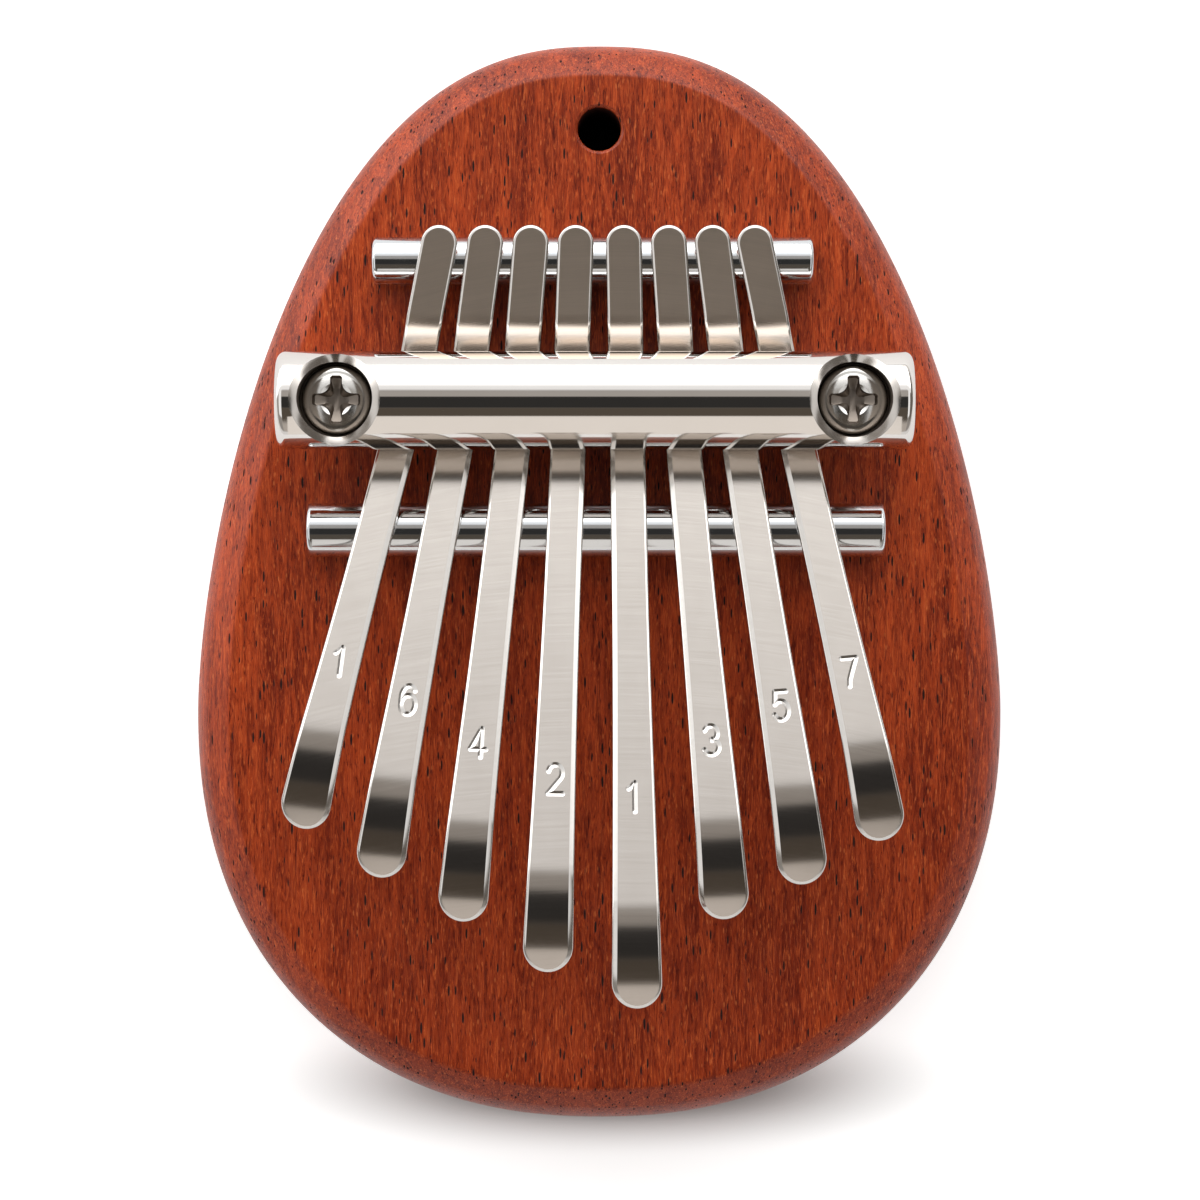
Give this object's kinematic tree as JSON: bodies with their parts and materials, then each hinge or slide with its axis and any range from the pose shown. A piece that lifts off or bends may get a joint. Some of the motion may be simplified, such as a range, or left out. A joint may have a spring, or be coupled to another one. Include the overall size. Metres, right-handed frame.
{
  "type": "kalimba",
  "caption": "Thumb piano: flared steel tines held on two bridge rods by a screwed round pressure bar, on a solid egg-shaped wooden board with a hanging hole.",
  "frame": {"origin": "centre of the board's flat back, in the plane that the instrument lies on", "axes": "+Z out of the playing side, +Y along the board towards the hanging hole, +X to the player's right when the tines point at the player"},
  "size_m": [0.075, 0.1, 0.0296],
  "materials": {
    "red_brown_hardwood": "satin oiled, fine straight grain with open pores",
    "chromed_bar": "polished",
    "spring_steel": "satin, brushed along the tine",
    "screw_steel": "bright plated"
  },
  "bodies": {
    "clamped_board": {"sound_board": "red_brown_hardwood", "front_bridge_rod": "chromed_bar", "rear_bridge_rod": "chromed_bar", "pressure_bar": "chromed_bar", "clamp_screw_left": "screw_steel", "clamp_screw_right": "screw_steel"},
    "tine_1_blade": {"tine_1": "spring_steel"},
    "tine_2_blade": {"tine_2": "spring_steel"},
    "tine_3_blade": {"tine_3": "spring_steel"},
    "tine_4_blade": {"tine_4": "spring_steel"},
    "tine_5_blade": {"tine_5": "spring_steel"},
    "tine_6_blade": {"tine_6": "spring_steel"},
    "tine_7_blade": {"tine_7": "spring_steel"},
    "tine_8_blade": {"tine_8": "spring_steel"}
  },
  "joints": [
    {"name": "tine_1_flex", "type": "hinge", "parent": "clamped_board", "child": "tine_1_blade", "pos_m": [-0.02017, 0.00547, 0.01839], "axis": [1, 0, 0], "range_deg": [-0.6, 1.2], "stiffness_Nm_per_rad": 7.2},
    {"name": "tine_2_flex", "type": "hinge", "parent": "clamped_board", "child": "tine_2_blade", "pos_m": [-0.01432, 0.00547, 0.01839], "axis": [1, 0, 0], "range_deg": [-0.6, 1.2], "stiffness_Nm_per_rad": 6.2},
    {"name": "tine_3_flex", "type": "hinge", "parent": "clamped_board", "child": "tine_3_blade", "pos_m": [-0.00861, 0.00547, 0.01839], "axis": [1, 0, 0], "range_deg": [-0.6, 1.2], "stiffness_Nm_per_rad": 5.5},
    {"name": "tine_4_flex", "type": "hinge", "parent": "clamped_board", "child": "tine_4_blade", "pos_m": [-0.00309, 0.00547, 0.01839], "axis": [1, 0, 0], "range_deg": [-0.6, 1.2], "stiffness_Nm_per_rad": 4.9},
    {"name": "tine_5_flex", "type": "hinge", "parent": "clamped_board", "child": "tine_5_blade", "pos_m": [0.0027, 0.00547, 0.01839], "axis": [1, 0, 0], "range_deg": [-0.6, 1.2], "stiffness_Nm_per_rad": 4.5},
    {"name": "tine_6_flex", "type": "hinge", "parent": "clamped_board", "child": "tine_6_blade", "pos_m": [0.00829, 0.00547, 0.01839], "axis": [1, 0, 0], "range_deg": [-0.6, 1.2], "stiffness_Nm_per_rad": 5.5},
    {"name": "tine_7_flex", "type": "hinge", "parent": "clamped_board", "child": "tine_7_blade", "pos_m": [0.01382, 0.00547, 0.01839], "axis": [1, 0, 0], "range_deg": [-0.6, 1.2], "stiffness_Nm_per_rad": 6.1},
    {"name": "tine_8_flex", "type": "hinge", "parent": "clamped_board", "child": "tine_8_blade", "pos_m": [0.0196, 0.00547, 0.01839], "axis": [1, 0, 0], "range_deg": [-0.6, 1.2], "stiffness_Nm_per_rad": 6.9}
  ]
}
